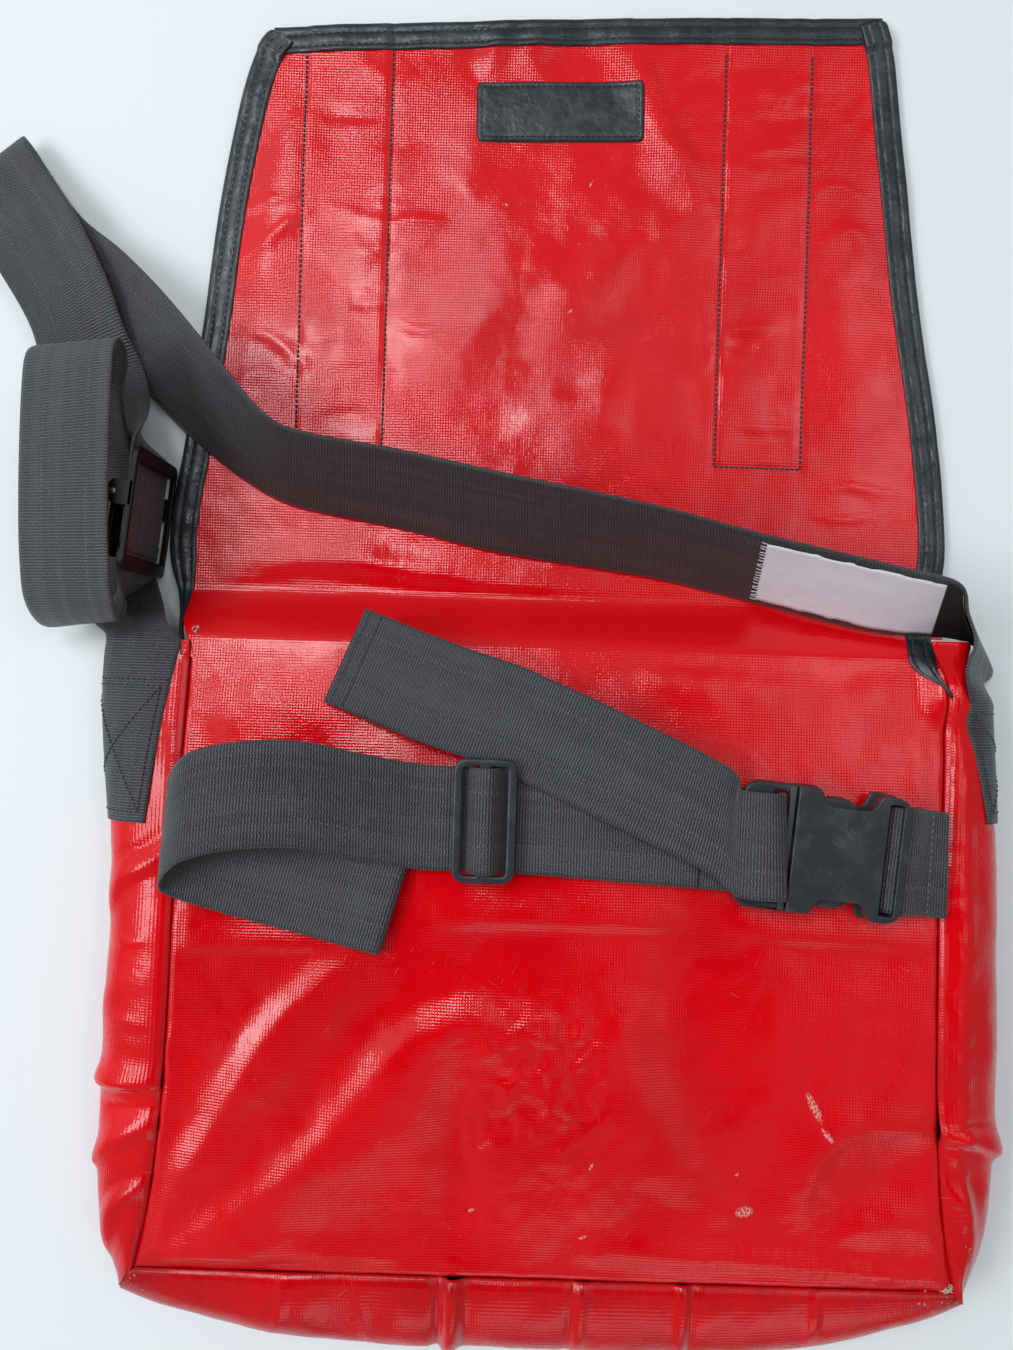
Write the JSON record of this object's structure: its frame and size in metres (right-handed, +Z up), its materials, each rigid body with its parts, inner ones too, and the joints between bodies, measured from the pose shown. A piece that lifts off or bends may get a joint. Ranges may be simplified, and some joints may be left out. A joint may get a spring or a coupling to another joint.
{
  "type": "messenger bag",
  "caption": "Tarpaulin messenger bag lying on its front with the flap open, with shoulder strap, adjuster, waist strap and side release buckle.",
  "frame": {"origin": "centre of the front panel's outer face, which the bag lies on", "axes": "+Y towards the flap's free edge, +X to the buckle socket's side, +Z up out of the back panel"},
  "size_m": [0.5217, 0.6542, 0.0748],
  "materials": {
    "tarpaulin": "glossy PVC-coated polyester tarpaulin with its scrim showing, creased and scuffed",
    "grip_tape": "black hook and loop tape",
    "binding_rubber": "black tube rubber with two rows of stitches",
    "patch_rubber": "smooth black rubber, stitched round its edge",
    "webbing": "charcoal seat belt webbing with dotted lines of lighter thread",
    "label_cloth": "bare white woven label",
    "buckle_plastic": "black moulded plastic",
    "pin_steel": "bare steel"
  },
  "bodies": {
    "bag": {"front_panel": "tarpaulin", "back_panel": "tarpaulin", "left_gusset": "tarpaulin", "right_gusset": "tarpaulin", "bottom_panel": "tarpaulin", "loop_strip_left": "grip_tape", "loop_strip_right": "grip_tape", "flap_fold": "tarpaulin", "shoulder_strap": "webbing", "care_label": "label_cloth", "anchor_strap": "webbing", "adjuster_frame": "buckle_plastic", "adjuster_pin": "pin_steel", "waist_strap_short": "webbing", "buckle_socket": "buckle_plastic"},
    "flap": {"flap_panel": "tarpaulin", "hook_strip_left": "grip_tape", "hook_strip_right": "grip_tape", "binding_left": "binding_rubber", "binding_right": "binding_rubber", "binding_edge": "binding_rubber", "name_patch": "patch_rubber"},
    "lever": {"adjuster_lever": "buckle_plastic"},
    "plug": {"buckle_plug": "buckle_plastic", "waist_strap_run": "webbing", "waist_strap_tail": "webbing"},
    "glide": {"tri_glide": "buckle_plastic"},
    "arm_upper": {"buckle_arm_upper": "buckle_plastic"},
    "arm_lower": {"buckle_arm_lower": "buckle_plastic"}
  },
  "joints": [
    {"name": "flap_hinge", "type": "hinge", "parent": "bag", "child": "flap", "pos_m": [0, 0.146, -0.00015], "axis": [-1, 0, 0], "range_deg": [0, 180], "deforming": ["flap_fold"]},
    {"name": "adjuster_lever_hinge", "type": "hinge", "parent": "bag", "child": "lever", "pos_m": [-0.20384, 0.21365, 0.0294], "axis": [0, 0, -1], "range_deg": [0, 60]},
    {"name": "buckle_slide", "type": "slide", "parent": "bag", "child": "plug", "axis": [-0.9962, 0.0872, 0], "range_m": [0, 0.05], "deforming": ["waist_strap_run"]},
    {"name": "tri_glide_slide", "type": "slide", "parent": "plug", "child": "glide", "axis": [-1, 0, 0], "range_m": [0, 0.012], "deforming": ["waist_strap_run"]},
    {"name": "arm_squeeze_upper", "type": "hinge", "parent": "plug", "child": "arm_upper", "pos_m": [0.1094, 0.0836, 0.0465], "axis": [0, 0, -1], "range_deg": [0, 8]},
    {"name": "arm_squeeze_lower", "type": "hinge", "parent": "plug", "child": "arm_lower", "pos_m": [0.1057, 0.0418, 0.0465], "axis": [0, 0, 1], "range_deg": [0, 8]}
  ],
  "couplings": [
    {"joint": "arm_squeeze_lower", "follows": "arm_squeeze_upper", "ratio": 1}
  ]
}
